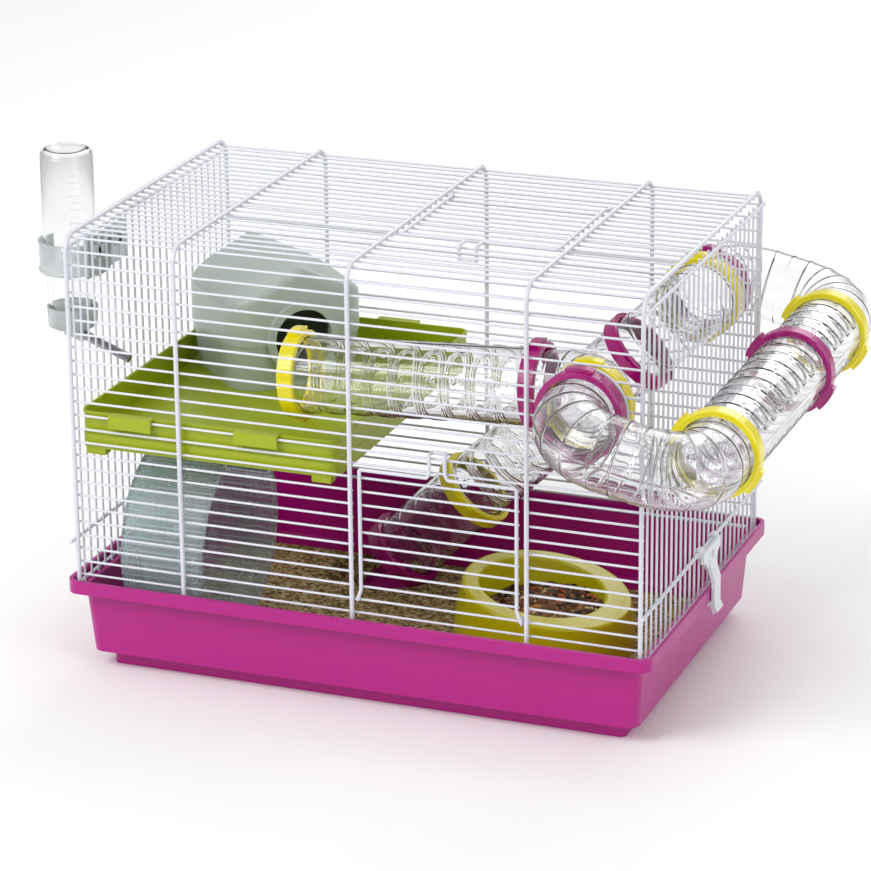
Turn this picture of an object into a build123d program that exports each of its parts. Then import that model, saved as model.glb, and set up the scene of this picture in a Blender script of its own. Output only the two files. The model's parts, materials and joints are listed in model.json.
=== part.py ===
from build123d import *
import os
from math import cos, degrees, radians, sin, sqrt

# Hamster cage: a plastic base tray, a welded wire top, and the things inside and on it.
# Millimetres. +X runs along the cage, +Y to its back, +Z up.
# The origin is the centre of the tray's underside.

# Wire top: the outer hoops, and the wires welded to them
cage_length = 440.0
cage_depth = 286.0
wire_height = 272.0
hoop_radius = 1.7
rail_radius = 1.4
thin_radius = 0.9
hoop_bend = 14.0
hoop_offset = 134.6
front_pitch = 10.5
first_front_wire = 8.4
top_pitch = 11.1
side_pitch = 11.5
end_wire_space = 9.0
side_end_space = 5.0
bail_height = 36.0
top_rail_drop = 11.0
stub_length = 6.0

# Base tray
tray_height = 73.0
rim_overhang = 9.0
rim_overhang_depth = 7.0
rim_depth = 10.0
lip_depth = 6.7
tray_wall = 2.4
floor_thickness = 3.0
plinth_height = 13.0
plinth_corner_step = 4.0
plinth_inset = 12.0
wall_top_inset = 9.5
wall_bottom_inset = 13.5
rim_corner = 10.0
wall_corner = 9.0
rest_tab_length = 14.0

# Bedding
bedding_depth = 7.0
fit_gap = 0.3

# Doors
door_wire_radius = 1.4
door_side_gap = 7.4
door_bottom_wire = 2
door_top_wire = 10
door_frame_rise = 7.0
latch_width = 16.0
latch_drop = 11.0
eye_radius = 2.4
eye_wire = 1.4
top_door_first = -4
top_door_last = 4
running_clearance = 0.06

# Clips that hold the wire top down on the tray
clip_centre = 0.5 * side_pitch
clip_eye_radius = 3.6
clip_eye_width = 7.4
clip_thickness = 2.6
clip_arm_width = 15.0
clip_clearance = 0.7

# Upper platform
platform_length = 205.0
platform_gap = 3.0
platform_depth = 276.0
platform_floor = 182.0
platform_wall_top = 205.0
platform_skirt = 5.0
platform_wall = 2.0
platform_corner = 9.0
foot_height = 5.0
foot_size = 15.0
tab_length = 34.0

# House on the platform
house_size = 112.0
house_base_size = 103.0
house_wall = 2.2
house_seam = 37.0
house_eave = 69.0
house_ridge = 97.0
house_corner = 26.0
house_overlap = 6.0
roof_round = 7.0
door_radius = 23.0
collar_width = 6.0
collar_depth = 4.0
doorway_height = 40.5
house_x = -147.0
house_y = 66.0

# Exercise wheel
wheel_radius = 72.0
wheel_width = 66.0
wheel_wall = 2.0
wheel_x = -159.7
wheel_y = -56.0
wheel_z = 86.0
rung_count = 40
rung_radius = 1.3
axle_radius = 3.0
axle_head_radius = 6.0
axle_head_length = 3.0
hub_radius = 8.0
hub_length = 12.0
post_thickness = 3.7
post_gap = 1.4
post_foot_width = 44.0
stand_length = 56.0
stand_width = 64.0

# Tubes and their lock rings
tube_radius = 27.75
tube_wall = 1.6
bead_radius = 29.3
bead_width = 2.0
joint_gap = 0.4
tube_long = 186.0
tube_short = 96.0
drop_short = 85.0
elbow_reach = 49.0
elbow_bend = 30.0
loop_bend = 38.0
loop_spacing = 98.0
loop_reach = 49.0
port_x = 177.5
port_z = 253.0
port_hoop_radius = 31.5
port_wire_radius = 1.2
joint_from_wall = 9.5
front_run_y = -97.0
back_run_y = 90.0
feed_slope = 3.5
loop_droop = 12.0
drop_slope = 44.0
ring_radius = 32.4
ring_width = 12.0
inner_ring_space = 4.5
ring_lip = 0.35
ring_groove = 5.4
lug_radius = 35.2
lug_angle = 34.0
outer_lug_fall = 32.0

# Water bottle
bottle_x = -253.5
bottle_y = -69.0
bottle_radius = 19.8
bottle_neck_radius = 15.0
bottle_wall = 1.2
bottle_top = 384.0
cap_radius = 19.3
cap_bottom = 245.5
cap_height = 16.5
cap_wall = 1.8
seal_thickness = 1.6
spout_slope = 22.0
spout_radius = 3.6
spout_bore = 3.12
spout_length = 50.0
ball_radius = 3.0
socket_radius = 6.2
socket_length = 13.0
band_clearance = 1.9
band_thickness = 2.2
band_sectors = 12
band_mouth = 62.0
band_mouth_turn = 120.0
band_bottom = 290.0
band_height = 24.0
plate_thickness = 2.4
plate_width = 64.0
plate_height = 30.0

# Food bowl
bowl_x = 99.0
bowl_y = -3.0
bowl_base_radius = 69.0
bowl_rim_radius = 59.0
bowl_height = 56.0
bowl_low_side = 46.0
bowl_inner_radius = 53.0
bowl_inner_taper = 0.74
bowl_inner_bottom = 12.0
bowl_tilt = 9.0
bowl_bulge = 3.5
bowl_lip_round = 2.6
food_level = 36.0

# Levels and planes worked out from the sizes above
ledge_z = tray_height - lip_depth
rail_z = ledge_z + rail_radius
cage_top = rail_z + wire_height
half_length = cage_length / 2
half_depth = cage_depth / 2
bedding_top = floor_thickness + bedding_depth
thin_plane_y = half_depth - hoop_radius - thin_radius
thin_plane_z = cage_top - hoop_radius - thin_radius
rail_x = half_length + hoop_radius + rail_radius
side_wire_x = rail_x - rail_radius - thin_radius
hoop_xs = [-half_length, -hoop_offset, 0.0, hoop_offset, half_length]
front_wire_count = int((wire_height - first_front_wire) / front_pitch)
top_wire_half_count = int((half_depth - end_wire_space) / top_pitch)
side_wire_half_count = int((half_depth - side_end_space) / side_pitch)
port_y = half_depth + joint_from_wall


def rod(start, end, radius):
    start = Vector(*start)
    end = Vector(*end)
    plane = Plane(origin=start, z_dir=end - start)
    return Solid.make_cylinder(radius, (end - start).length, plane)


def bent_wire(points, bend, radius):
    # One solid for each straight run and each bend, meeting face to face
    path = FilletPolyline(*points, radius=bend)
    solids = []
    for edge in path.edges():
        section = Plane(origin=edge @ 0, z_dir=edge % 0) * Circle(radius)
        solids.append(sweep(section, path=edge).solid())
    return solids


def group(solids):
    return Compound(children=[s for s in solids])


def flat_face(plane, points):
    return plane * make_face(Polyline(*points, close=True).edges())


def tapered_box(bottom, top, bottom_z, top_z, corner):
    # bottom and top are (x size, y size)
    low = Plane.XY.offset(bottom_z) * RectangleRounded(bottom[0], bottom[1], corner)
    high = Plane.XY.offset(top_z) * RectangleRounded(top[0], top[1], corner)
    return loft([low, high])


def straight_box(size, bottom_z, top_z, corner):
    outline = Plane.XY.offset(bottom_z) * RectangleRounded(size[0], size[1], corner)
    return extrude(outline, top_z - bottom_z)


# Base tray and bedding

def rim_size(inset):
    length = cage_length + 2 * (rim_overhang - inset)
    depth = cage_depth + 2 * (rim_overhang_depth - inset)
    return (length, depth)


def make_tray():
    plinth = rim_size(wall_bottom_inset + plinth_inset)
    low = rim_size(wall_bottom_inset)
    high = rim_size(wall_top_inset)
    rim = rim_size(0)
    rim_bottom = tray_height - rim_depth
    body = straight_box(plinth, 0, plinth_height + 1, wall_corner - plinth_corner_step)
    body += tapered_box(low, high, plinth_height, ledge_z, wall_corner)
    body += straight_box(rim, rim_bottom, tray_height, rim_corner)
    # The lip is a skirt with an open groove behind it
    skirt = straight_box(rim_size(2.2), rim_bottom - 1, ledge_z - tray_wall, rim_corner - 2.2)
    wall_at_rim = tapered_box(low, high, plinth_height, ledge_z, wall_corner)
    body -= skirt - wall_at_rim
    body -= straight_box(rim_size(3.0), ledge_z, tray_height + 1, rim_corner - 3)
    inner_plinth = (plinth[0] - 2 * tray_wall, plinth[1] - 2 * tray_wall)
    inner_low = (low[0] - 2 * tray_wall, low[1] - 2 * tray_wall)
    inner_high = (high[0] - 2 * tray_wall, high[1] - 2 * tray_wall)
    step = plinth_height + tray_wall
    body -= straight_box(inner_plinth, floor_thickness, step + 1, wall_corner - plinth_corner_step - tray_wall)
    body -= tapered_box(inner_low, inner_high, step, ledge_z + 0.01, wall_corner - tray_wall)
    # Rest tabs inside the rim, between the wires
    for side in (-1, 1):
        for x in (-0.5 * hoop_offset, 0.15 * hoop_offset, 1.3 * hoop_offset):
            y = side * (inner_high[1] / 2 + 0.1)
            tab = Box(rest_tab_length, 1.6, 7.0, align=(Align.CENTER, Align.CENTER, Align.MAX))
            body += Pos(x, y - side * 0.8, ledge_z) * tab
    return body


def make_bedding(drop_ring_plane):
    plinth = rim_size(wall_bottom_inset + plinth_inset + tray_wall)
    size = (plinth[0] - 2 * fit_gap, plinth[1] - 2 * fit_gap)
    bed = straight_box(size, floor_thickness, bedding_top, wall_corner - plinth_corner_step - tray_wall - fit_gap)
    bed -= stand_base(fit_gap)
    bed -= wheel_post(fit_gap)
    ring_space = Cylinder(ring_radius + 1.0, ring_width + 6.0)
    bed -= drop_ring_plane * ring_space
    # The mouth of the drop tube is open, so no bedding stands in front of it
    mouth = Cylinder(ring_radius + 1.0, 60.0, align=(Align.CENTER, Align.CENTER, Align.MIN))
    bed -= drop_ring_plane * mouth
    return bed


# Wire top

def hoop_path(x):
    bottom = ledge_z
    return [
        (x, -half_depth, bottom),
        (x, -half_depth, cage_top),
        (x, half_depth, cage_top),
        (x, half_depth, bottom),
    ]


def make_hoops():
    solids = []
    for x in hoop_xs:
        solids += bent_wire(hoop_path(x), hoop_bend, hoop_radius)
    return group(solids)


def front_wire_levels():
    return [rail_z + first_front_wire + front_pitch * n for n in range(front_wire_count)]


def corner_y(z):
    # The thin wires follow the hoops' bends
    over = z - (cage_top - hoop_bend)
    reach = hoop_bend - hoop_radius - thin_radius
    if over <= 0:
        return thin_plane_y
    return half_depth - hoop_bend + sqrt(reach ** 2 - over ** 2)


def corner_z(y):
    over = abs(y) - (half_depth - hoop_bend)
    reach = hoop_bend - hoop_radius - thin_radius
    if over <= 0:
        return thin_plane_z
    return cage_top - hoop_bend + sqrt(reach ** 2 - over ** 2)


def wire_spans(z, door_low, door_high):
    # The stretches of one long wire that the door opening and the tube port leave
    end = half_length + 1.0
    spans = [(-end, end)]
    if door_low < z < door_high:
        spans = [(-end, 1.0), (hoop_offset - 1.0, end)]
    lift = abs(z - port_z)
    if lift < port_hoop_radius:
        half = sqrt(port_hoop_radius ** 2 - lift ** 2)
        last = spans.pop()
        spans.append((last[0], port_x - half))
        spans.append((port_x + half, last[1]))
    return spans


def front_door_zone():
    levels = front_wire_levels()
    return levels[door_bottom_wire] - 1, levels[door_top_wire] + 1


def make_long_wires(side, door_zone):
    solids = []
    for z in front_wire_levels():
        y = side * corner_y(z)
        for low, high in wire_spans(z, *door_zone):
            solids.append(rod((low, y, z), (high, y, z), thin_radius))
    return group(solids)


def make_top_wires():
    end = half_length + 1.0
    solids = []
    for n in range(-top_wire_half_count, top_wire_half_count + 1):
        y = n * top_pitch
        z = corner_z(y)
        spans = [(-end, end)]
        if top_door_first - 1 <= n <= top_door_last:
            spans = [(-end, 1.0), (hoop_offset - 1.0, end)]
        for low, high in spans:
            solids.append(rod((low, y, z), (high, y, z), thin_radius))
    return group(solids)


def make_side_wires(side):
    x = side * side_wire_x
    top = cage_top - top_rail_drop + rail_radius + 1.0
    solids = []
    for n in range(-side_wire_half_count, side_wire_half_count):
        y = (n + 0.5) * side_pitch
        solids.append(rod((x, y, ledge_z), (x, y, top), thin_radius))
    return group(solids)


def make_frame_rails():
    # Bottom rails all round, and a top rail on each side wall
    solids = []
    inner_y = half_depth - hoop_radius - rail_radius
    for side in (-1, 1):
        end = half_length - 4.0
        solids.append(rod((-end, side * inner_y, rail_z), (end, side * inner_y, rail_z), rail_radius))
        x = side * rail_x
        side_end = half_depth - 2.0
        solids.append(rod((x, -side_end, rail_z), (x, side_end, rail_z), rail_radius))
        z = cage_top - top_rail_drop
        reach = half_depth - hoop_bend + hoop_bend * 0.9
        solids.append(rod((x, -reach, z), (x, reach, z), rail_radius))
    return group(solids)


def make_bail_wires():
    solids = []
    reach = half_depth + stub_length
    z = rail_z + bail_height
    for side in (-1, 1):
        x = side * rail_x
        solids.append(rod((x, -reach, z), (x, reach, z), rail_radius))
    return group(solids)


def make_port_hoops():
    # Round wires that frame the two tube ports, outside the thin wires they are welded to
    solids = []
    for side in (-1, 1):
        y = side * (thin_plane_y + thin_radius + port_wire_radius)
        plane = Plane(origin=(port_x, y, port_z), z_dir=(0, 1, 0))
        solids.append(Solid.make_torus(port_hoop_radius, port_wire_radius, plane))
    return group(solids)


# Wire doors

def make_front_door():
    levels = front_wire_levels()
    hinge_z = levels[door_bottom_wire - 1]
    y = -half_depth
    eye_y = -thin_plane_y
    left = door_side_gap
    right = hoop_offset - door_side_gap
    foot = levels[door_bottom_wire] - 2.0
    top = levels[door_top_wire] + door_frame_rise
    middle = 0.5 * (left + right)
    low = middle - latch_width / 2
    high = middle + latch_width / 2
    tip = levels[door_top_wire + 2] + thin_radius + door_wire_radius + 1.6
    loop_y = y - 0.5
    splay = 3.0
    eye_edge_y = eye_y - eye_radius
    frame = bent_wire(
        [
            (left - splay, eye_edge_y, hinge_z),
            (left, y, foot),
            (left, y, top),
            (low, y, top),
            (low + 2, loop_y, top + 4.5),
            (low + 2, loop_y, tip),
            (low + 2, loop_y + 6.0, tip),
            (high - 2, loop_y + 6.0, tip),
            (high - 2, loop_y, tip),
            (high - 2, loop_y, top + 4.5),
            (high, y, top),
            (right, y, top),
            (right, y, foot),
            (right + splay, eye_edge_y, hinge_z),
        ],
        1.8,
        door_wire_radius,
    )
    inner_y = y + door_wire_radius + thin_radius
    for z in levels[door_bottom_wire:door_top_wire + 1]:
        frame.append(rod((left - 1.2, inner_y, z), (right + 1.2, inner_y, z), thin_radius))
    for x in (left - splay, right + splay):
        plane = Plane(origin=(x, eye_y, hinge_z), z_dir=(1, 0, 0))
        eye = Solid.make_torus(eye_radius, eye_wire, plane)
        frame.append(cut_clear(eye, frame))
    return group(frame)


def cut_clear(solid, others):
    # Trims a solid where others already are, so that they meet face to face
    result = solid
    box = solid.bounding_box()
    for other in others:
        if box.overlaps(other.bounding_box()):
            result = result - other
    return max(result.solids(), key=lambda s: s.volume)


def make_top_door():
    hinge_y = (top_door_last + 1) * top_pitch
    front_y = (top_door_first - 1) * top_pitch - 1.5
    z = cage_top
    eye_z = thin_plane_z
    left = door_side_gap
    right = hoop_offset - door_side_gap
    middle = left + 0.48 * (right - left)
    low = middle - latch_width / 2
    high = middle + latch_width / 2
    tip_y = (top_door_first - 2.5) * top_pitch
    splay = 3.0
    back = hinge_y - 8.0
    frame = bent_wire(
        [
            (left - splay, hinge_y, eye_z + eye_radius),
            (left, back, z),
            (left, front_y, z),
            (low, front_y, z),
            (low + 1.5, front_y - 4.0, z + 0.8),
            (low + 1.5, tip_y, z + 0.8),
            (low + 1.5, tip_y, z - latch_drop),
            (high - 1.5, tip_y, z - latch_drop),
            (high - 1.5, tip_y, z + 0.8),
            (high - 1.5, front_y - 4.0, z + 0.8),
            (high, front_y, z),
            (right, front_y, z),
            (right, back, z),
            (right + splay, hinge_y, eye_z + eye_radius),
        ],
        1.8,
        door_wire_radius,
    )
    inner_z = z - door_wire_radius - thin_radius
    for n in range(top_door_first, top_door_last + 1):
        y = n * top_pitch
        if y < back:
            frame.append(rod((left - 1.2, y, inner_z), (right + 1.2, y, inner_z), thin_radius))
    for x in (left - splay, right + splay):
        plane = Plane(origin=(x, hinge_y, eye_z), z_dir=(1, 0, 0))
        eye = Solid.make_torus(eye_radius, eye_wire, plane)
        frame.append(cut_clear(eye, frame))
    return group(frame)


# Clips

def make_clip(side):
    # Drawn for the right side, then mirrored for the left
    pivot_z = rail_z + bail_height
    rim_x = half_length + rim_overhang
    lip_z = tray_height - rim_depth
    plate_x = rail_x + rail_radius + 0.5
    arm_x = rim_x + clip_clearance
    t = clip_thickness
    outline = [
        (plate_x, pivot_z + 1.0),
        (plate_x + t, pivot_z + 1.0),
        (plate_x + t + 0.6, pivot_z - 12.0),
        (arm_x + t, tray_height + 5.0),
        (arm_x + t, lip_z - 4.0),
        (arm_x + t + 2.4, lip_z - 9.0),
        (arm_x + 1.4, lip_z - 11.0),
        (arm_x - 0.6, lip_z - 5.2),
        (rim_x - 4.4, lip_z - 4.0),
        (rim_x - 4.4, lip_z - 0.6),
        (arm_x - 0.2, lip_z - 1.0),
        (arm_x, lip_z + 0.6),
        (arm_x, tray_height + 3.6),
        (plate_x + 0.4, pivot_z - 13.0),
    ]
    face = flat_face(Plane.XZ, outline)
    arm = Pos(0, clip_centre + clip_arm_width / 2, 0) * extrude(face, clip_arm_width)
    spread = 3 * side_pitch
    hub_width = spread + clip_eye_width
    hub = Pos(plate_x + t / 2, clip_centre, pivot_z - 3.5) * Box(t, hub_width, 9.0)
    body = arm + hub
    # The shoulders narrow down into the arm
    shoulder = flat_face(
        Plane.YZ.offset(plate_x),
        [
            (clip_centre - hub_width / 2, pivot_z - 5.0),
            (clip_centre + hub_width / 2, pivot_z - 5.0),
            (clip_centre + clip_arm_width / 2, pivot_z - 17.0),
            (clip_centre - clip_arm_width / 2, pivot_z - 17.0),
        ],
    )
    body += extrude(shoulder, t)
    for n in (-1.5, 1.5):
        centre = (rail_x, clip_centre + n * side_pitch, pivot_z)
        barrel = Plane(origin=centre, z_dir=(0, 1, 0)) * Cylinder(clip_eye_radius, clip_eye_width)
        body += barrel
    bore = Plane(origin=(rail_x, clip_centre, pivot_z), z_dir=(0, 1, 0))
    body -= bore * Cylinder(rail_radius + running_clearance, hub_width + 20)
    hole = Plane(origin=(plate_x, clip_centre, pivot_z - 6.5), z_dir=(1, 0, 0))
    body -= hole * Cylinder(3.2, 4 * t)
    if side < 0:
        body = mirror(body, about=Plane.YZ)
    return body


# Platform

def platform_edges():
    left = -half_length + platform_gap
    return left, left + platform_length


def make_platform():
    left, right = platform_edges()
    centre_x = (left + right) / 2
    bottom = platform_floor - platform_skirt
    size = (platform_length, platform_depth)
    shell = straight_box(size, bottom, platform_wall_top, platform_corner)
    inner = (size[0] - 2 * platform_wall, size[1] - 2 * platform_wall)
    shell -= straight_box(inner, platform_floor, platform_wall_top + 1, platform_corner - platform_wall)
    under = platform_floor - platform_wall
    shell -= straight_box(inner, bottom - 1, under, platform_corner - platform_wall)
    # A step runs round the outside, half way up the wall
    band_low = platform_floor + 6.0
    ring = straight_box((size[0] + 4, size[1] + 4), band_low, platform_wall_top - 2.0, platform_corner)
    ring -= straight_box((size[0] - 1.0, size[1] - 1.0), band_low - 1, platform_wall_top, platform_corner)
    shell -= ring
    shell = Pos(centre_x, 0, 0) * shell
    # Feet under the corners
    for x in (left + foot_size / 2 + 5, right - foot_size / 2 - 5):
        for y in (-1, 1):
            foot = Box(foot_size, foot_size * 0.6, foot_height + 0.5, align=(Align.CENTER, Align.CENTER, Align.MAX))
            foot_y = y * (platform_depth / 2 - foot_size * 0.3 - 0.4)
            shell += Pos(x, foot_y, bottom + 0.5) * foot
    # Ribs under the floor
    for n in (-2, -1, 0, 1, 2):
        rib = Box(platform_length - 3, 1.4, under - bottom + 0.5, align=(Align.CENTER, Align.CENTER, Align.MIN))
        shell += Pos(centre_x, n * platform_depth / 6, bottom) * rib
    # Hooks over the long wires at the front and the back
    hook_level = [z for z in front_wire_levels() if z < platform_wall_top][-1]
    for x in (left + 0.21 * platform_length, left + 0.70 * platform_length):
        for side in (-1, 1):
            shell += hook_tab(x, side, hook_level)
    return shell


def hook_tab(x, side, wire_z):
    gap = 0.5
    inner = platform_depth / 2 - platform_wall
    outer = thin_plane_y + thin_radius + gap + platform_wall
    roof_low = wire_z + thin_radius + gap
    roof = Box(tab_length, outer - inner, platform_wall, align=(Align.CENTER, Align.CENTER, Align.MIN))
    tab = Pos(x, side * (inner + outer) / 2, roof_low) * roof
    drop = Box(tab_length, platform_wall, roof_low - wire_z + 7.0, align=(Align.CENTER, Align.CENTER, Align.MAX))
    tab += Pos(x, side * (outer - platform_wall / 2), roof_low + 0.5) * drop
    web_height = roof_low - platform_wall_top + 3.0
    web = Box(tab_length, platform_wall, web_height, align=(Align.CENTER, Align.CENTER, Align.MIN))
    tab += Pos(x, side * (inner + platform_wall / 2), platform_wall_top - 2.5) * web
    return tab


# House

def house_plane():
    # Local +X points out of the doorway, and local Y runs along the doorway's wall
    return Plane(
        origin=(house_x, house_y, platform_floor), x_dir=(1, -1, 0), z_dir=(0, 0, 1)
    )


def gable_block(size, low, eave, ridge, corner):
    half = size / 2
    face = flat_face(Plane.YZ, [(-half, low), (half, low), (half, eave), (0, ridge), (-half, eave)])
    block = Pos(-half, 0, 0) * extrude(face, size)
    upright = block.edges().filter_by(Axis.Z)
    block = fillet(upright, corner)
    roof = block.edges().filter_by(lambda e: e.center().Z > eave - 0.6 * corner)
    roof = [e for e in roof if e.center().Z > eave - 1.0]
    return fillet(roof, roof_round)


def make_house_top():
    outer = gable_block(house_size, house_seam, house_eave, house_ridge, house_corner)
    t = house_wall
    inner = gable_block(
        house_size - 2 * t, house_seam - 5, house_eave - 0.4 * t, house_ridge - 1.2 * t, house_corner - t
    )
    shell = outer - inner
    collar_centre = Plane(origin=(house_size / 2, 0, doorway_height), z_dir=(1, 0, 0))
    collar = Cylinder(door_radius + collar_width, collar_depth + 1.0, align=(Align.CENTER, Align.CENTER, Align.MIN))
    shell += collar_centre.offset(-1.0) * collar
    hole = Cylinder(door_radius, 40.0)
    shell -= collar_centre * hole
    # Air slots in the wall that faces away from the doorway
    for n in (-1, 0, 1):
        slot = Box(10.0, 18.0, 4.0)
        shell -= Pos(-house_size / 2, n * 26.0, house_eave - 10.0) * slot
    return house_plane() * shell


def make_house_base():
    t = house_wall
    collar_size = house_size - 2 * t - 2 * fit_gap
    outer = tapered_box(
        (house_base_size, house_base_size), (house_size - 1.0, house_size - 1.0), 0.05, house_seam - 0.05, house_corner
    )
    inner_low = house_base_size - 2 * t
    inner_high = house_size - 1.0 - 2 * t - 5.0
    outer += straight_box((collar_size, collar_size), house_seam - 3, house_seam + house_overlap, house_corner - t)
    outer -= tapered_box((inner_low, inner_low), (inner_high, inner_high), -0.5, house_seam - 3, house_corner - t)
    neck = collar_size - 2 * t
    outer -= straight_box((neck, neck), house_seam - 3.01, house_seam + house_overlap + 1, house_corner - 2 * t)
    collar_centre = Plane(origin=(house_size / 2, 0, doorway_height), z_dir=(1, 0, 0))
    outer -= collar_centre * Cylinder(door_radius, 60.0)
    collar_space = Cylinder(door_radius + collar_width + 1.0, 12.0, align=(Align.CENTER, Align.CENTER, Align.MIN))
    outer -= collar_centre.offset(-1.0 - fit_gap) * collar_space
    return house_plane() * outer


# Wheel

def wheel_left():
    return wheel_x - wheel_width / 2


def make_wheel_drum():
    left = wheel_left()
    plane = Plane(origin=(left, wheel_y, wheel_z), z_dir=(1, 0, 0))
    base = (Align.CENTER, Align.CENTER, Align.MIN)
    drum = Cylinder(wheel_radius, wheel_width, align=base)
    drum -= Pos(0, 0, wheel_wall) * Cylinder(wheel_radius - wheel_wall, wheel_width, align=base)
    lip = Cylinder(wheel_radius, 3.0, align=base) - Cylinder(wheel_radius - 2 * wheel_wall, 3.0, align=base)
    drum += Pos(0, 0, wheel_width - 3.0) * lip
    drum += Cylinder(hub_radius, hub_length, align=base)
    rung = Cylinder(rung_radius, wheel_width - 4.0, align=base)
    rungs = PolarLocations(wheel_radius - wheel_wall - 0.4, rung_count)
    drum += [Pos(0, 0, 1.0) * place * rung for place in rungs]
    drum -= Pos(0, 0, -1) * Cylinder(axle_radius + running_clearance, hub_length + 3, align=base)
    return plane * drum


def make_wheel_axle():
    left = wheel_left()
    tail = left - post_gap - post_thickness
    head = left + hub_length + 0.4
    pin = rod((tail, wheel_y, wheel_z), (head, wheel_y, wheel_z), axle_radius)
    top = rod((head, wheel_y, wheel_z), (head + axle_head_length, wheel_y, wheel_z), axle_head_radius)
    cap = pin + top
    rim = cap.edges().filter_by(GeomType.CIRCLE).sort_by(Axis.X)[-1]
    return fillet(rim, 1.2)


def wheel_post(gap):
    right = wheel_left() - post_gap
    foot = post_foot_width / 2
    crown = axle_head_radius + 3.0
    outline = [
        (wheel_y - foot - gap, floor_thickness),
        (wheel_y + foot + gap, floor_thickness),
        (wheel_y + crown + gap, wheel_z),
        (wheel_y - crown - gap, wheel_z),
    ]
    depth = post_thickness + 2 * gap
    plane = Plane.YZ.offset(right - post_thickness - gap)
    post = extrude(flat_face(plane, outline), depth)
    top = Plane(origin=(right - post_thickness - gap, wheel_y, wheel_z), z_dir=(1, 0, 0))
    post += top * Cylinder(crown, depth, align=(Align.CENTER, Align.CENTER, Align.MIN))
    return post


def stand_base(gap):
    left = wheel_left() - post_gap - post_thickness
    size = (stand_length + 2 * gap, stand_width + 2 * gap)
    plate = straight_box(size, floor_thickness, floor_thickness + 3.0 + gap, 8.0)
    return Pos(left + stand_length / 2, wheel_y, 0) * plate


def make_wheel_stand():
    stand = wheel_post(0) + stand_base(0)
    bore = Plane(origin=(wheel_left(), wheel_y, wheel_z), z_dir=(1, 0, 0))
    stand -= bore * Cylinder(axle_radius + 0.03, 40.0)
    # A window in the post
    window = flat_face(
        Plane.YZ.offset(wheel_left() - 20),
        [
            (wheel_y - 11, floor_thickness + 18),
            (wheel_y + 11, floor_thickness + 18),
            (wheel_y + 4, wheel_z - 22),
            (wheel_y - 4, wheel_z - 22),
        ],
    )
    stand -= extrude(window, 30)
    return stand


# Tubes

def slope_direction(angle):
    # A run that leaves a port's axis to the left, falling by angle
    return Vector(-cos(radians(angle)), 0, -sin(radians(angle)))


def annulus(outer, inner, length, plane):
    base = (Align.CENTER, Align.CENTER, Align.MIN)
    ring = Cylinder(outer, length, align=base)
    ring -= Pos(0, 0, -1) * Cylinder(inner, length + 2, align=base)
    return plane * ring


def arc_block(outer, inner, height, angle):
    # A piece of a ring, centred on +X, standing on the XY plane
    half = radians(angle / 2)
    far = 1.5 * outer
    corners = [(0, 0), (far * cos(half), -far * sin(half)), (far * cos(half), far * sin(half))]
    wedge = extrude(flat_face(Plane.XY, corners), height)
    return annulus(outer, inner, height, Plane.XY) & wedge


def bead(at, direction):
    # A low flange whose far face is at the given point, looking along direction
    direction = Vector(*direction).normalized()
    start = Vector(*at) - direction * bead_width
    return annulus(bead_radius, tube_radius - tube_wall, bead_width, Plane(origin=start, z_dir=direction))


def straight_tube(start, end):
    start = Vector(*start)
    end = Vector(*end)
    along = (end - start).normalized()
    start = start + along * joint_gap / 2
    end = end - along * joint_gap / 2
    tube = annulus(tube_radius, tube_radius - tube_wall, (end - start).length, Plane(origin=start, z_dir=along))
    tube += bead(end, along)
    tube += bead(start, along * -1)
    return tube


def bent_tube(points, bend):
    points = [Vector(*p) for p in points]
    first = (points[1] - points[0]).normalized()
    last = (points[-1] - points[-2]).normalized()
    points[0] = points[0] + first * joint_gap / 2
    points[-1] = points[-1] - last * joint_gap / 2
    path = FilletPolyline(*points, radius=bend)
    start = Plane(origin=points[0], z_dir=first)
    outer = sweep(start * Circle(tube_radius), path=path)
    inner = sweep(start * Circle(tube_radius - tube_wall), path=path)
    tube = outer - inner
    tube += bead(points[0], first * -1)
    tube += bead(points[-1], last)
    return tube


def port_axis(y):
    return Vector(port_x, y, port_z)


def elbow_points(side, run_y, slope):
    corner = port_axis(run_y)
    return [port_axis(side * port_y), corner, corner + slope_direction(slope) * elbow_reach]


def make_elbow(side, run_y, slope):
    elbow = bent_tube(elbow_points(side, run_y, slope), elbow_bend)
    # The flange that the ring inside the wall closes on
    flange_y = side * (inner_ring_y() + bead_width / 2)
    elbow += bead((port_x, flange_y, port_z), (0, side, 0))
    return elbow


def inner_ring_y():
    return half_depth - inner_ring_space - ring_width / 2


def loop_point(y):
    return Vector(
        port_x + loop_spacing * cos(radians(loop_droop)), y, port_z - loop_spacing * sin(radians(loop_droop))
    )


def loop_end_y():
    return (tube_long + tube_short) / 2


def make_loop(side):
    far = side * (port_y + loop_reach)
    points = [port_axis(side * port_y), port_axis(far), loop_point(far), loop_point(side * loop_end_y())]
    return bent_tube(points, loop_bend)


def run_point(run_y, slope, distance):
    return port_axis(run_y) + slope_direction(slope) * distance


# Lock rings

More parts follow.
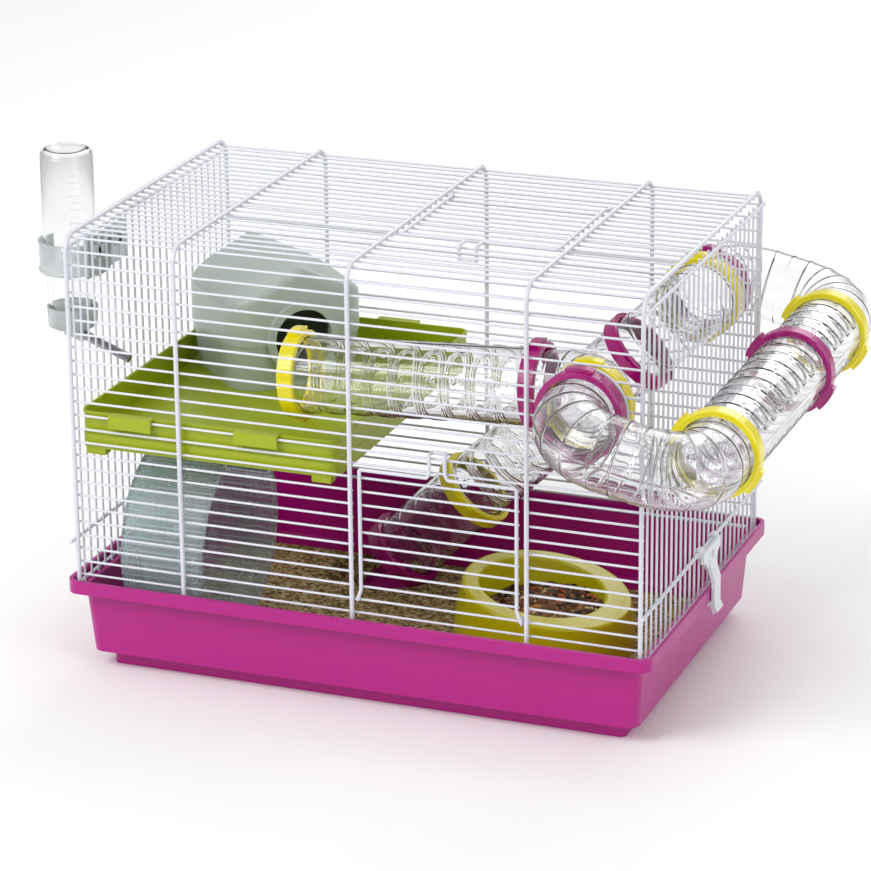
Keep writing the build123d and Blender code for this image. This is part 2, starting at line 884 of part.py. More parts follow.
def lock_ring(centre, direction, lug_dir):
    plane = Plane(origin=centre, x_dir=lug_dir, z_dir=direction)
    half = ring_width / 2
    body = Cylinder(ring_radius, ring_width)
    body -= Cylinder(tube_radius + ring_lip, ring_width + 2)
    body -= Cylinder(bead_radius + ring_lip, ring_groove)
    lug_width = 0.62 * ring_width
    lug = Pos(0, 0, -lug_width / 2) * arc_block(lug_radius, ring_radius - 0.5, lug_width, lug_angle)
    body += lug
    body += Rot(0, 0, 180) * lug
    # Finger grips: shallow notches round the outside
    notch = Cylinder(1.0, ring_width + 2)
    body -= [place * notch for place in PolarLocations(ring_radius + 0.5, 6, start_angle=30)]
    rims = body.edges().filter_by(GeomType.CIRCLE)
    rims = [e for e in rims if abs(e.radius - ring_radius) < 0.01]
    rims = [e for e in rims if abs(abs(e.center().Z) - half) < 0.01]
    try_fillet = ShapeList(rims)
    return plane * chamfer(try_fillet, 0.8)


def ring_places():
    # name: centre, axis, and the direction that the lugs point in
    y = Vector(0, 1, 0)
    up = Vector(0, 0, 1)
    fall = radians(outer_lug_fall)
    aside = Vector(cos(fall), 0, -sin(fall))
    feed = slope_direction(feed_slope)
    drop = slope_direction(drop_slope)
    feed_up = Vector(-feed.Z, 0, feed.X) * -1
    port = port_y
    inner = inner_ring_y()
    feed_end = elbow_reach + tube_long - bead_width / 2
    drop_end = elbow_reach + tube_long + drop_short - bead_width / 2
    return {
        "feed_end_ring": (run_point(front_run_y, feed_slope, feed_end), feed, feed_up),
        "feed_joint_ring": (run_point(front_run_y, feed_slope, elbow_reach), feed, feed_up),
        "front_inner_ring": (port_axis(-inner), y, up),
        "front_outer_ring": (port_axis(-port), y, up),
        "loop_front_ring": (loop_point(-loop_end_y()), y, aside),
        "loop_middle_ring": (loop_point(-loop_end_y() + tube_long), y, aside),
        "loop_back_ring": (loop_point(loop_end_y()), y, aside),
        "back_outer_ring": (port_axis(port), y, up),
        "back_inner_ring": (port_axis(inner), y, up),
        "drop_top_ring": (run_point(back_run_y, drop_slope, elbow_reach), drop, y),
        "drop_middle_ring": (run_point(back_run_y, drop_slope, elbow_reach + tube_long), drop, y),
        "drop_end_ring": (run_point(back_run_y, drop_slope, drop_end), drop, y),
    }


# Water bottle

def bottle_revolve(points):
    return Pos(bottle_x, bottle_y, 0) * revolve(flat_face(Plane.XZ, points), Axis.Z)


def make_bottle():
    r = bottle_radius
    neck = bottle_neck_radius
    t = bottle_wall
    shoulder = cap_bottom + cap_height
    seat = cap_bottom + cap_wall + seal_thickness + 0.1
    top = bottle_top
    outer = bottle_revolve([
        (0, seat), (neck, seat), (neck, shoulder - 1.5), (r - 2.2, shoulder + 1.2),
        (r - 1.6, shoulder + 8), (r, shoulder + 46), (r, top - 5), (r - 1.4, top - 1.6),
        (r - 4.6, top), (r - 7, top - 0.8), (4.5, top - 3.4), (0, top - 3.4),
    ])
    inner = bottle_revolve([
        (0, seat - 1), (neck - t, seat - 1), (neck - t, shoulder - 1), (r - 2.2 - t, shoulder + 1.8),
        (r - 1.6 - t, shoulder + 8), (r - t, shoulder + 46), (r - t, top - 5), (r - 1.4 - t, top - 2.8),
        (r - 4.8, top - 1.4), (r - 7, top - 2.2), (4.5, top - 4.8), (0, top - 4.8),
    ])
    return outer - inner


def spout_plane(distance):
    angle = radians(spout_slope)
    along = Vector(cos(angle), 0, -sin(angle))
    start = Vector(bottle_x + 1.0, bottle_y, cap_bottom - 3.0)
    return Plane(origin=start + along * distance, z_dir=along)


def make_bottle_cap():
    low = cap_bottom
    high = cap_bottom + cap_height
    neck_space = bottle_neck_radius + 0.4
    cap = bottle_revolve([
        (0, low), (cap_radius - 3.5, low), (cap_radius - 0.8, low + 1.8), (cap_radius, high - 0.5),
        (cap_radius - 0.5, high), (cap_radius - 1.9, high), (cap_radius - 2.2, high - 1.6),
        (neck_space, high - 3.0), (neck_space, low + cap_wall), (0, low + cap_wall),
    ])
    base = (Align.CENTER, Align.CENTER, Align.MIN)
    nozzle = spout_plane(-4.0) * Cylinder(socket_radius, socket_length, align=base)
    neck = Pos(bottle_x, bottle_y, low - 6.0) * Cylinder(socket_radius + 1.0, 6.5, align=base)
    nozzle += neck
    ceiling = Pos(bottle_x, bottle_y, low + 0.01) * Box(80, 80, 40, align=base)
    cap += nozzle - ceiling
    cap -= spout_plane(-2.0) * Cylinder(spout_radius + 0.02, socket_length + 20, align=base)
    feed = Pos(bottle_x - 0.5, bottle_y, low - 3.0) * Cylinder(1.6, 10.0, align=base)
    cap -= feed
    return cap


def make_cap_seal():
    low = cap_bottom + cap_wall
    seal = Pos(bottle_x, bottle_y, low) * Cylinder(
        bottle_neck_radius, seal_thickness, align=(Align.CENTER, Align.CENTER, Align.MIN)
    )
    seal -= Pos(bottle_x, bottle_y, low - 1) * Cylinder(
        bottle_neck_radius - 4.0, seal_thickness + 2, align=(Align.CENTER, Align.CENTER, Align.MIN)
    )
    return seal


def make_spout_tube():
    base = (Align.CENTER, Align.CENTER, Align.MIN)
    tube = Cylinder(spout_radius, spout_length, align=base)
    tube -= Pos(0, 0, -1) * Cylinder(spout_bore, spout_length + 1 - 0.5, align=base)
    tube -= Cylinder(ball_radius - 0.4, spout_length + 5, align=base)
    return spout_plane(-1.5) * tube


def make_spout_ball():
    lip = spout_length - 0.5
    seat = sqrt(ball_radius ** 2 - (ball_radius - 0.4) ** 2) + 0.05
    return spout_plane(-1.5 + lip - seat) * Sphere(ball_radius)


def holder_plate_x():
    return -(rail_x + rail_radius + 0.3)


def make_bottle_holder():
    inner = bottle_radius + band_clearance
    outer = inner + band_thickness
    base = (Align.CENTER, Align.CENTER, Align.MIN)
    centre = Pos(bottle_x, bottle_y, band_bottom)
    solids = []
    # The open band is made of short arcs that meet face to face
    sector = (360 - band_mouth) / band_sectors
    first = band_mouth_turn + band_mouth / 2
    for n in range(band_sectors):
        arc = arc_block(outer, inner, band_height, sector).solids()[0]
        solids.append(centre * Rot(0, 0, first + (n + 0.5) * sector) * arc)
    plate_x = holder_plate_x()
    plate_centre_z = band_bottom + 18.0
    plate = Pos(plate_x - plate_thickness / 2, bottle_y + 4.0, plate_centre_z)
    plate = plate * Box(plate_thickness, plate_width, plate_height)
    bridge_start = bottle_x + outer - 4.0
    bridge_length = plate_x - bridge_start - 0.2
    bridge = Box(bridge_length, 22.0, band_height, align=(Align.MIN, Align.CENTER, Align.MIN))
    back = plate + Pos(bridge_start, bottle_y, band_bottom) * bridge
    back -= Pos(bottle_x, bottle_y, band_bottom - 20) * Cylinder(outer, 80, align=base)
    # Two fingers reach between the side wires and hook behind them
    for n in (-8, -5):
        y = n * side_pitch
        z = plate_centre_z + 6.0
        reach = side_wire_x - thin_radius - 0.6
        finger = Box(-plate_x - reach + 2.0, 5.0, 8.0, align=(Align.MAX, Align.CENTER, Align.CENTER))
        back += Pos(-reach + 2.0, y, z) * finger
        nail = Box(2.0, 14.0, 8.0, align=(Align.MIN, Align.CENTER, Align.CENTER))
        back += Pos(-reach, y, z) * nail
    solids.append(back.solids()[0])
    return group(solids)


# Bowl

def bowl_plane():
    return Pos(bowl_x, bowl_y, bedding_top + 0.05)


def make_bowl():
    low = Circle(bowl_base_radius)
    middle_radius = 0.5 * (bowl_base_radius + bowl_rim_radius) + bowl_bulge
    mid = Plane.XY.offset(0.5 * bowl_height) * Circle(middle_radius)
    high = Plane.XY.offset(bowl_height + 6) * Circle(bowl_rim_radius)
    body = loft([low, mid, high])
    # The rim falls to the right
    tilt = Pos(0, 0, bowl_low_side) * Rot(2.0, bowl_tilt, 0)
    slab = Box(300, 300, 60, align=(Align.CENTER, Align.CENTER, Align.MIN))
    body -= tilt * slab
    cavity = Pos(0, 0, bowl_inner_bottom) * Cone(
        bowl_inner_radius * bowl_inner_taper, bowl_inner_radius, bowl_height,
        align=(Align.CENTER, Align.CENTER, Align.MIN),
    )
    cavity = fillet(cavity.edges().sort_by(Axis.Z)[0], 10.0)
    body -= cavity
    lip = body.edges().filter_by(lambda e: e.center().Z > 0.6 * bowl_low_side)
    body = fillet(lip, bowl_lip_round)
    # Hollow underneath, as a moulded bowl is
    under = Cone(
        bowl_base_radius - 4.0, bowl_base_radius - 10.0, bowl_inner_bottom - 3.0,
        align=(Align.CENTER, Align.CENTER, Align.MIN),
    )
    body -= Pos(0, 0, -0.01) * under
    return bowl_plane() * body


def make_food():
    low = bowl_inner_bottom + 3.1
    slope = bowl_inner_radius * (1 - bowl_inner_taper) / bowl_height
    start = bowl_inner_radius * bowl_inner_taper
    bottom_radius = start - 7.0
    top_radius = start + slope * (food_level - bowl_inner_bottom) - 1.0
    heap = Pos(0, 0, low) * Cone(
        bottom_radius, top_radius, food_level - low, align=(Align.CENTER, Align.CENTER, Align.MIN)
    )
    return bowl_plane() * heap


def main():
    os.makedirs("parts", exist_ok=True)
    rings = ring_places()
    drop_centre, drop_axis, drop_lug = rings["drop_end_ring"]
    drop_plane = Plane(origin=drop_centre, x_dir=drop_lug, z_dir=drop_axis)
    no_door = (0, 0)
    nodes = {
        "tray": make_tray(),
        "bedding": make_bedding(drop_plane),
        "hoops": make_hoops(),
        "front_wires": make_long_wires(-1, front_door_zone()),
        "back_wires": make_long_wires(1, no_door),
        "top_wires": make_top_wires(),
        "left_wires": make_side_wires(-1),
        "right_wires": make_side_wires(1),
        "frame_rails": make_frame_rails(),
        "bail_wires": make_bail_wires(),
        "port_hoops": make_port_hoops(),
        "front_door": make_front_door(),
        "top_door": make_top_door(),
        "left_clip": make_clip(-1),
        "right_clip": make_clip(1),
        "platform": make_platform(),
        "house_base": make_house_base(),
        "house_top": make_house_top(),
        "wheel_drum": make_wheel_drum(),
        "wheel_axle": make_wheel_axle(),
        "wheel_stand": make_wheel_stand(),
        "feed_tube": straight_tube(
            run_point(front_run_y, feed_slope, elbow_reach),
            run_point(front_run_y, feed_slope, elbow_reach + tube_long),
        ),
        "front_elbow": make_elbow(-1, front_run_y, feed_slope),
        "front_loop": make_loop(-1),
        "outer_long_tube": straight_tube(loop_point(-loop_end_y()), loop_point(tube_long - loop_end_y())),
        "outer_short_tube": straight_tube(loop_point(tube_long - loop_end_y()), loop_point(loop_end_y())),
        "back_loop": make_loop(1),
        "back_elbow": make_elbow(1, back_run_y, drop_slope),
        "drop_long_tube": straight_tube(
            run_point(back_run_y, drop_slope, elbow_reach),
            run_point(back_run_y, drop_slope, elbow_reach + tube_long),
        ),
        "drop_short_tube": straight_tube(
            run_point(back_run_y, drop_slope, elbow_reach + tube_long),
            run_point(back_run_y, drop_slope, elbow_reach + tube_long + drop_short),
        ),
        "bottle": make_bottle(),
        "bottle_cap": make_bottle_cap(),
        "cap_seal": make_cap_seal(),
        "spout_tube": make_spout_tube(),
        "spout_ball": make_spout_ball(),
        "bottle_holder": make_bottle_holder(),
        "bowl": make_bowl(),
        "food": make_food(),
    }
    for name, (centre, direction, lug) in rings.items():
        nodes[name] = lock_ring(centre, direction, lug)
    for name, shape in nodes.items():
        export_step(shape, f"parts/{name}.step")
        print(name, len(shape.solids()), round(shape.volume))


main()
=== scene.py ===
import json
import math
import random

import bmesh
import bpy
from mathutils import Matrix, Vector

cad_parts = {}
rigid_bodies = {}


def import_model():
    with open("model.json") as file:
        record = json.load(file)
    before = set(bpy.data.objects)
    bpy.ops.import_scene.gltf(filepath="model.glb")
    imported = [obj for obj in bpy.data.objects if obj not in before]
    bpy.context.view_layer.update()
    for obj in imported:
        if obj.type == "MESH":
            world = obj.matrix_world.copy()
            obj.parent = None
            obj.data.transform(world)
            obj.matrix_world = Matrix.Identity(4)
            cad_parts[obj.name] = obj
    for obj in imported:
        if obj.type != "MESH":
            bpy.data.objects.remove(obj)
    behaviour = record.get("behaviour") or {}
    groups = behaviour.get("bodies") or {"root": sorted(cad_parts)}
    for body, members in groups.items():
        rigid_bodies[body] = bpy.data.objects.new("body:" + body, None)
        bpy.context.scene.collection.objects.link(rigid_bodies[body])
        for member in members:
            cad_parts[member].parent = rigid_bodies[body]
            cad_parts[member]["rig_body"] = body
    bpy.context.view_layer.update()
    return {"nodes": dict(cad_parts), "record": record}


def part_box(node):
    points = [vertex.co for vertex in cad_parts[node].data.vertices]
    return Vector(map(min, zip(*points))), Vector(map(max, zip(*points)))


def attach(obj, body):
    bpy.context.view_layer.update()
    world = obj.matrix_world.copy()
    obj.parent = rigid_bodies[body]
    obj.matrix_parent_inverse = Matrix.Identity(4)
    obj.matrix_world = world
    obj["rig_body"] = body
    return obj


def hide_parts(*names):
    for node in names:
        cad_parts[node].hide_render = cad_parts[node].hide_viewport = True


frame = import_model()
scene = bpy.context.scene
nodes = frame["nodes"]
bodyOf = {name: obj["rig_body"] for name, obj in nodes.items()}
mm = 0.001


# Small helpers

def tint(red, green, blue):
    # a colour as a paint chart gives it, 0 to 255, made linear
    steps = []
    for value in (red, green, blue):
        value = value / 255
        steps.append(value / 12.92 if value <= 0.04045 else ((value + 0.055) / 1.055) ** 2.4)
    return (*steps, 1.0)


def finishPiece(name, bm, material, body, stands=(), sharpAngle=35, fixNormals=False):
    if fixNormals:
        bmesh.ops.recalc_face_normals(bm, faces=bm.faces)
    mesh = bpy.data.meshes.new(name)
    bm.to_mesh(mesh)
    bm.free()
    mesh.shade_smooth()
    mesh.set_sharp_from_angle(angle=math.radians(sharpAngle))
    mesh.materials.append(material)
    piece = bpy.data.objects.new(name, mesh)
    scene.collection.objects.link(piece)
    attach(piece, body)
    if stands:
        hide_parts(*stands)
    return piece


def spinProfile(points, steps):
    # a closed outline of (radius, height) turned about the Z axis
    bm = bmesh.new()
    verts = [bm.verts.new((radius, 0, height)) for radius, height in points]
    edges = [bm.edges.new((a, b)) for a, b in zip(verts, verts[1:] + verts[:1])]
    bmesh.ops.spin(bm, geom=verts + edges, cent=(0, 0, 0), axis=(0, 0, 1), angle=math.tau,
                   steps=steps, use_merge=True)
    bmesh.ops.remove_doubles(bm, verts=bm.verts, dist=1e-6)
    bmesh.ops.recalc_face_normals(bm, faces=bm.faces)
    return bm


def placeAlong(origin, direction, sideways):
    # local Z runs along direction, local X points to sideways
    along = Vector(direction).normalized()
    across = (Vector(sideways) - along * Vector(sideways).dot(along)).normalized()
    third = along.cross(across)
    turn = Matrix((across, third, along)).transposed().to_4x4()
    return Matrix.Translation(Vector(origin)) @ turn


# Camera, floor and light

cameraSizes = {"turn": 21.12, "drop": 19.82, "roll": -0.53, "lens": 152.86,
               "distance": 2.7824, "aim": (0.0111, 0.0, 0.1659)}


def makeCamera():
    turn = math.radians(cameraSizes["turn"])
    drop = math.radians(cameraSizes["drop"])
    forward = Vector((-math.sin(turn) * math.cos(drop), math.cos(turn) * math.cos(drop), -math.sin(drop)))
    data = bpy.data.cameras.new("camera")
    data.lens = cameraSizes["lens"]
    data.sensor_width = 36.0
    data.clip_end = 60.0
    camera = bpy.data.objects.new("camera", data)
    scene.collection.objects.link(camera)
    look = forward.to_track_quat("-Z", "Y") @ Matrix.Rotation(
        math.radians(cameraSizes["roll"]), 3, "Z").to_quaternion()
    camera.rotation_mode = "QUATERNION"
    camera.rotation_quaternion = look
    camera.location = Vector(cameraSizes["aim"]) - forward * cameraSizes["distance"]
    scene.camera = camera


makeCamera()

lightSizes = [
    # name, place, size, power
    ("key", (-1.6, -2.2, 2.4), 1.8, 62.0),
    ("fill", (2.4, -1.2, 1.5), 1.6, 16.0),
    ("back", (0.3, 2.4, 2.2), 2.0, 30.0),
]


def makeStudio():
    bm = bmesh.new()
    bmesh.ops.create_grid(bm, x_segments=1, y_segments=1, size=14.0)
    mesh = bpy.data.meshes.new("floor")
    bm.to_mesh(mesh)
    bm.free()
    floor = bpy.data.objects.new("floor", mesh)
    floor.location.z = -0.0004
    scene.collection.objects.link(floor)
    paper = bpy.data.materials.new("paleFloor")
    paper.use_nodes = True
    shader = paper.node_tree.nodes["Principled BSDF"]
    shader.inputs["Base Color"].default_value = (0.97, 0.97, 0.97, 1)
    shader.inputs["Roughness"].default_value = 0.75
    shader.inputs["Specular IOR Level"].default_value = 0.15
    mesh.materials.append(paper)
    for name, place, size, power in lightSizes:
        data = bpy.data.lights.new(name, "AREA")
        data.energy = power
        data.size = size
        light = bpy.data.objects.new(name, data)
        light.location = place
        aim = Vector((0, 0, 0.12)) - Vector(place)
        light.rotation_mode = "QUATERNION"
        light.rotation_quaternion = aim.to_track_quat("-Z", "Y")
        scene.collection.objects.link(light)
    # a pale room, a little darker low down, so that clear plastic has edges
    world = bpy.data.worlds.new("studio")
    scene.world = world
    world.use_nodes = True
    tree = world.node_tree
    back = tree.nodes["Background"]
    coord = tree.nodes.new("ShaderNodeTexCoord")
    split = tree.nodes.new("ShaderNodeSeparateXYZ")
    ramp = tree.nodes.new("ShaderNodeValToRGB")
    tree.links.new(coord.outputs["Generated"], split.inputs[0])
    tree.links.new(split.outputs["Z"], ramp.inputs[0])
    tree.links.new(ramp.outputs[0], back.inputs["Color"])
    ramp.color_ramp.elements[0].position = 0.0
    ramp.color_ramp.elements[0].color = (0.66, 0.67, 0.69, 1)
    ramp.color_ramp.elements[1].position = 0.5
    ramp.color_ramp.elements[1].color = (1, 1, 1, 1)
    back.inputs["Strength"].default_value = 0.62
    scene.view_settings.view_transform = "Standard"


makeStudio()
print("camera, floor and lights are set")


# Shader groups

def makeGroup(name, inputs, outputs):
    group = bpy.data.node_groups.new(name, "ShaderNodeTree")
    for label, kind, value in inputs:
        socket = group.interface.new_socket(name=label, in_out="INPUT", socket_type=kind)
        socket.default_value = value
    for label, kind in outputs:
        group.interface.new_socket(name=label, in_out="OUTPUT", socket_type=kind)
    start = group.nodes.new("NodeGroupInput")
    end = group.nodes.new("NodeGroupOutput")
    return group, start, end


def addNode(tree, kind, settings=None, values=None):
    node = tree.nodes.new(kind)
    for label, value in (settings or {}).items():
        setattr(node, label, value)
    for label, value in (values or {}).items():
        node.inputs[label].default_value = value
    return node


def addMath(tree, operation, first, second):
    node = tree.nodes.new("ShaderNodeMath")
    node.operation = operation
    for index, value in enumerate((first, second)):
        if isinstance(value, (int, float)):
            node.inputs[index].default_value = value
        else:
            tree.links.new(value, node.inputs[index])
    return node.outputs[0]


def makeMouldedGroup():
    # plastic and enamel: slow colour drift, fine grain, faint handling marks
    group, start, end = makeGroup(
        "mouldedFinish",
        [("Color", "NodeSocketColor", (0.8, 0.8, 0.8, 1)), ("Drift", "NodeSocketFloat", 0.06),
         ("Grain Scale", "NodeSocketFloat", 900.0), ("Roughness", "NodeSocketFloat", 0.3),
         ("Roughness Spread", "NodeSocketFloat", 0.08), ("Mark Scale", "NodeSocketFloat", 60.0)],
        [("Color", "NodeSocketColor"), ("Roughness", "NodeSocketFloat"), ("Height", "NodeSocketFloat")],
    )
    link = group.links.new
    coord = addNode(group, "ShaderNodeTexCoord")
    slow = addNode(group, "ShaderNodeTexNoise", values={"Scale": 14.0, "Detail": 3.0})
    grain = addNode(group, "ShaderNodeTexNoise", values={"Detail": 2.0})
    marks = addNode(group, "ShaderNodeTexNoise", values={"Detail": 5.0, "Distortion": 1.5})
    stretch = addNode(group, "ShaderNodeMapping", values={"Scale": (1.0, 1.0, 0.16)})
    link(coord.outputs["Object"], slow.inputs["Vector"])
    link(coord.outputs["Object"], grain.inputs["Vector"])
    link(coord.outputs["Object"], stretch.inputs["Vector"])
    link(stretch.outputs[0], marks.inputs["Vector"])
    link(start.outputs["Grain Scale"], grain.inputs["Scale"])
    link(start.outputs["Mark Scale"], marks.inputs["Scale"])
    centred = addMath(group, "SUBTRACT", slow.outputs["Fac"], 0.5)
    swing = addMath(group, "MULTIPLY", centred, start.outputs["Drift"])
    bright = addMath(group, "ADD", swing, 1.0)
    paint = addNode(group, "ShaderNodeHueSaturation")
    link(start.outputs["Color"], paint.inputs["Color"])
    link(bright, paint.inputs["Value"])
    link(paint.outputs[0], end.inputs["Color"])
    worn = addMath(group, "SUBTRACT", marks.outputs["Fac"], 0.5)
    worn = addMath(group, "MULTIPLY", worn, start.outputs["Roughness Spread"])
    link(addMath(group, "ADD", start.outputs["Roughness"], worn), end.inputs["Roughness"])
    tall = addMath(group, "MULTIPLY", marks.outputs["Fac"], 0.5)
    link(addMath(group, "ADD", grain.outputs["Fac"], tall), end.inputs["Height"])
    return group


def makeCrumbGroup():
    # loose grains: each small patch has its own colour between three
    group, start, end = makeGroup(
        "looseGrain",
        [("Dark", "NodeSocketColor", (0.1, 0.1, 0.1, 1)), ("Middle", "NodeSocketColor", (0.4, 0.4, 0.4, 1)),
         ("Pale", "NodeSocketColor", (0.8, 0.8, 0.8, 1)), ("Patch Scale", "NodeSocketFloat", 350.0),
         ("Fibre Scale", "NodeSocketFloat", 1500.0)],
        [("Color", "NodeSocketColor"), ("Height", "NodeSocketFloat")],
    )
    link = group.links.new
    coord = addNode(group, "ShaderNodeTexCoord")
    cells = addNode(group, "ShaderNodeTexVoronoi")
    link(coord.outputs["Object"], cells.inputs["Vector"])
    link(start.outputs["Patch Scale"], cells.inputs["Scale"])
    pick = addNode(group, "ShaderNodeSeparateColor")
    link(cells.outputs["Color"], pick.inputs[0])
    fibre = addNode(group, "ShaderNodeTexNoise", values={"Detail": 3.0, "Distortion": 0.8})
    link(coord.outputs["Object"], fibre.inputs["Vector"])
    link(start.outputs["Fibre Scale"], fibre.inputs["Scale"])
    lowMix = addNode(group, "ShaderNodeMix", {"data_type": "RGBA"})
    highMix = addNode(group, "ShaderNodeMix", {"data_type": "RGBA"})
    lowPart = addNode(group, "ShaderNodeMapRange", values={"From Min": 0.0, "From Max": 0.45})
    highPart = addNode(group, "ShaderNodeMapRange", values={"From Min": 0.5, "From Max": 1.0})
    link(pick.outputs[0], lowPart.inputs[0])
    link(pick.outputs[0], highPart.inputs[0])
    link(lowPart.outputs[0], lowMix.inputs["Factor"])
    link(start.outputs["Dark"], lowMix.inputs[6])
    link(start.outputs["Middle"], lowMix.inputs[7])
    link(highPart.outputs[0], highMix.inputs["Factor"])
    link(lowMix.outputs[2], highMix.inputs[6])
    link(start.outputs["Pale"], highMix.inputs[7])
    shade = addNode(group, "ShaderNodeHueSaturation")
    value = addNode(group, "ShaderNodeMapRange", values={"To Min": 0.78, "To Max": 1.18})
    link(fibre.outputs["Fac"], value.inputs[0])
    link(value.outputs[0], shade.inputs["Value"])
    link(highMix.outputs[2], shade.inputs["Color"])
    link(shade.outputs[0], end.inputs["Color"])
    link(fibre.outputs["Fac"], end.inputs["Height"])
    return group


mouldedGroup = makeMouldedGroup()
crumbGroup = makeCrumbGroup()


# Materials

def startMaterial(name, group):
    material = bpy.data.materials.new(name)
    material.use_nodes = True
    tree = material.node_tree
    shader = tree.nodes["Principled BSDF"]
    use = tree.nodes.new("ShaderNodeGroup")
    use.node_tree = group
    bump = tree.nodes.new("ShaderNodeBump")
    tree.links.new(use.outputs["Height"], bump.inputs["Height"])
    tree.links.new(bump.outputs[0], shader.inputs["Normal"])
    return material, tree, shader, use, bump


def mouldedMaterial(name, look):
    material, tree, shader, use, bump = startMaterial(name, mouldedGroup)
    use.inputs["Color"].default_value = look["color"]
    use.inputs["Drift"].default_value = look.get("drift", 0.06)
    use.inputs["Grain Scale"].default_value = look.get("grain", 900.0)
    use.inputs["Roughness"].default_value = look["roughness"]
    use.inputs["Roughness Spread"].default_value = look.get("spread", 0.12)
    use.inputs["Mark Scale"].default_value = look.get("marks", 60.0)
    tree.links.new(use.outputs["Color"], shader.inputs["Base Color"])
    tree.links.new(use.outputs["Roughness"], shader.inputs["Roughness"])
    bump.inputs["Strength"].default_value = look.get("bump", 0.12)
    bump.inputs["Distance"].default_value = look.get("depth", 0.0002)
    for label, value in look.get("shader", {}).items():
        shader.inputs[label].default_value = value
    return material


def crumbMaterial(name, look):
    material, tree, shader, use, bump = startMaterial(name, crumbGroup)
    use.inputs["Dark"].default_value = look["dark"]
    use.inputs["Middle"].default_value = look["middle"]
    use.inputs["Pale"].default_value = look["pale"]
    use.inputs["Patch Scale"].default_value = look["patch"]
    use.inputs["Fibre Scale"].default_value = look.get("fibre", 1500.0)
    tree.links.new(use.outputs["Color"], shader.inputs["Base Color"])
    shader.inputs["Roughness"].default_value = look.get("roughness", 0.8)
    shader.inputs["Specular IOR Level"].default_value = look.get("specular", 0.25)
    bump.inputs["Strength"].default_value = 0.5
    bump.inputs["Distance"].default_value = 0.0004
    return material


mouldedLooks = {
    "trayPlastic": {"color": tint(176, 0, 128), "roughness": 0.34, "bump": 0.10, "drift": 0.05,
                    "shader": {"Coat Weight": 0.25, "Coat Roughness": 0.2, "Specular IOR Level": 0.4}},
    "wireEnamel": {"color": tint(218, 219, 229), "roughness": 0.28, "grain": 450.0, "bump": 0.18,
                   "drift": 0.04, "shader": {"Coat Weight": 0.3, "Coat Roughness": 0.12}},
    "limePlastic": {"color": tint(158, 172, 4), "roughness": 0.33, "bump": 0.1,
                    "shader": {"Subsurface Weight": 0.08, "Subsurface Radius": (0.004, 0.006, 0.001)}},
    "housePlastic": {"color": tint(180, 190, 183), "roughness": 0.36, "bump": 0.08, "drift": 0.04,
                     "shader": {"Coat Weight": 0.15, "Coat Roughness": 0.25}},
    "wheelPlastic": {"color": tint(226, 240, 242), "roughness": 0.26, "bump": 0.06,
                     "shader": {"Transmission Weight": 0.78, "IOR": 1.22}},
    "greyPlastic": {"color": tint(226, 230, 234), "roughness": 0.3, "bump": 0.1,
                    "shader": {"Coat Weight": 0.2}},
    "capPlastic": {"color": tint(222, 227, 228), "roughness": 0.2, "bump": 0.08,
                   "shader": {"Transmission Weight": 0.55, "IOR": 1.3}},
    "clearPlastic": {"color": (0.985, 0.985, 0.995, 1), "roughness": 0.02, "spread": 0.02, "drift": 0.01,
                     "grain": 90.0, "bump": 0.02, "depth": 0.0003,
                     "shader": {"Transmission Weight": 1.0, "IOR": 1.46}},
    "bottlePlastic": {"color": (0.985, 0.99, 0.99, 1), "roughness": 0.03, "spread": 0.03, "drift": 0.01,
                      "grain": 120.0, "bump": 0.03, "depth": 0.0004,
                      "shader": {"Transmission Weight": 1.0, "IOR": 1.42}},
    "yellowPlastic": {"color": tint(240, 225, 5), "roughness": 0.2, "bump": 0.05,
                      "shader": {"Coat Weight": 0.4, "Coat Roughness": 0.08, "Subsurface Weight": 0.1,
                                 "Subsurface Radius": (0.004, 0.003, 0.0005)}},
    "magentaPlastic": {"color": tint(164, 0, 112), "roughness": 0.22, "bump": 0.05,
                       "shader": {"Coat Weight": 0.2, "Coat Roughness": 0.08}},
    "bowlPlastic": {"color": tint(190, 180, 0), "roughness": 0.24, "bump": 0.05, "drift": 0.05,
                    "shader": {"Coat Weight": 0.15, "Coat Roughness": 0.05, "Specular IOR Level": 0.35}},
    "spoutSteel": {"color": tint(140, 141, 146), "roughness": 0.12, "bump": 0.05, "marks": 220.0,
                   "shader": {"Metallic": 1.0}},
    "sealRubber": {"color": tint(60, 62, 66), "roughness": 0.7, "bump": 0.2},
}
materials = {name: mouldedMaterial(name, look) for name, look in mouldedLooks.items()}
materials["beddingWood"] = crumbMaterial("beddingWood", {
    "dark": tint(78, 58, 28), "middle": tint(154, 126, 80), "pale": tint(212, 190, 146),
    "patch": 420.0})

treadSizes = {"axleY": -56.0 * mm, "axleZ": 86.0 * mm, "count": 90, "narrow": 14.0}


def makeTreadGroup():
    # fine lines across a drum that turns about an axle along X
    group, start, end = makeGroup(
        "treadLines",
        [("Count", "NodeSocketFloat", 90.0), ("Narrow", "NodeSocketFloat", 14.0)],
        [("Mask", "NodeSocketFloat")],
    )
    link = group.links.new
    coord = addNode(group, "ShaderNodeTexCoord")
    split = addNode(group, "ShaderNodeSeparateXYZ")
    link(coord.outputs["Object"], split.inputs[0])
    across = addMath(group, "SUBTRACT", split.outputs["Y"], treadSizes["axleY"])
    height = addMath(group, "SUBTRACT", split.outputs["Z"], treadSizes["axleZ"])
    angle = addMath(group, "ARCTAN2", height, across)
    wave = addMath(group, "SINE", addMath(group, "MULTIPLY", angle, start.outputs["Count"]), 0.0)
    half = addMath(group, "MULTIPLY_ADD", wave, 0.5)
    half.node.inputs[2].default_value = 0.5
    link(addMath(group, "POWER", half, start.outputs["Narrow"]), end.inputs["Mask"])
    return group


